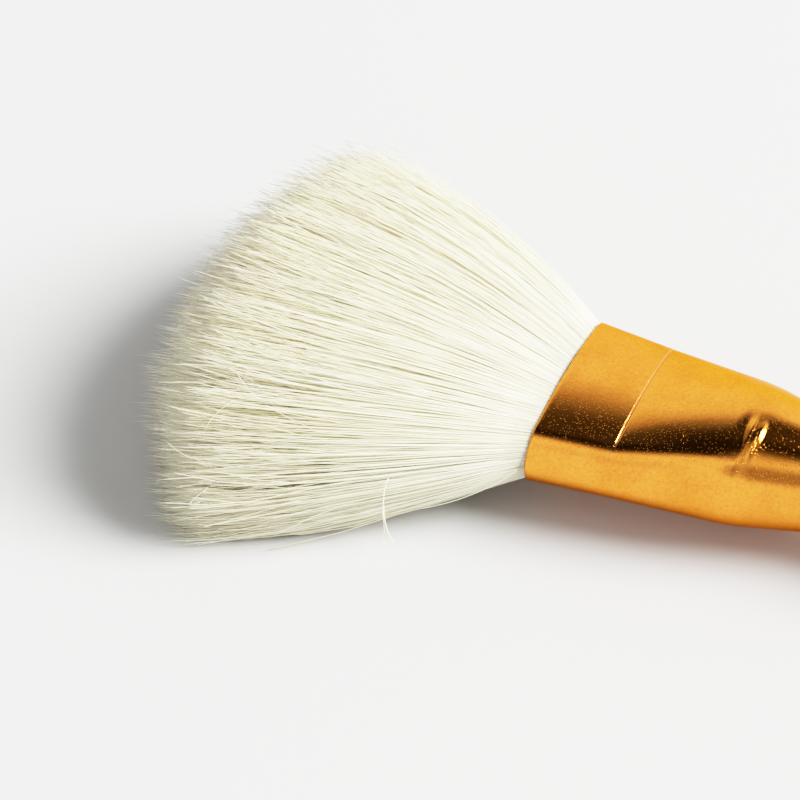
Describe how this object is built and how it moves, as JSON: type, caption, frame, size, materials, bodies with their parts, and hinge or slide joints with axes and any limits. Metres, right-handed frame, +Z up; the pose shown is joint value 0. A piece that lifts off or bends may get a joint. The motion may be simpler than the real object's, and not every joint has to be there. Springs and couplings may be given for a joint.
{
  "type": "neck duster brush",
  "caption": "Soft neck duster brush: a fanned goat hair tuft in a pressed gold-coloured aluminium ferrule on a turned wooden handle, lying on its side.",
  "frame": {"origin": "centre of the outline seen from above, on the table that the brush lies on", "axes": "+X along the brush from the hair tips to the butt of the handle, +Y across the flattened mouth of the ferrule, +Z up from the table"},
  "size_m": [0.1958, 0.066, 0.0222],
  "materials": {
    "hair": "soft undyed goat hair, cream to ivory",
    "thread": "waxed cotton thread",
    "resin": "cast epoxy, amber, glossy",
    "gold_anodised": "satin anodised, warm gold",
    "glue": "dried wood glue, matt",
    "wood": "turned beech under clear lacquer, satin"
  },
  "bodies": {
    "root": {"hair_tuft": "hair", "root_thread": "thread", "root_resin": "resin", "ferrule": "gold_anodised", "handle_glue": "glue", "handle": "wood"}
  },
  "joints": []
}
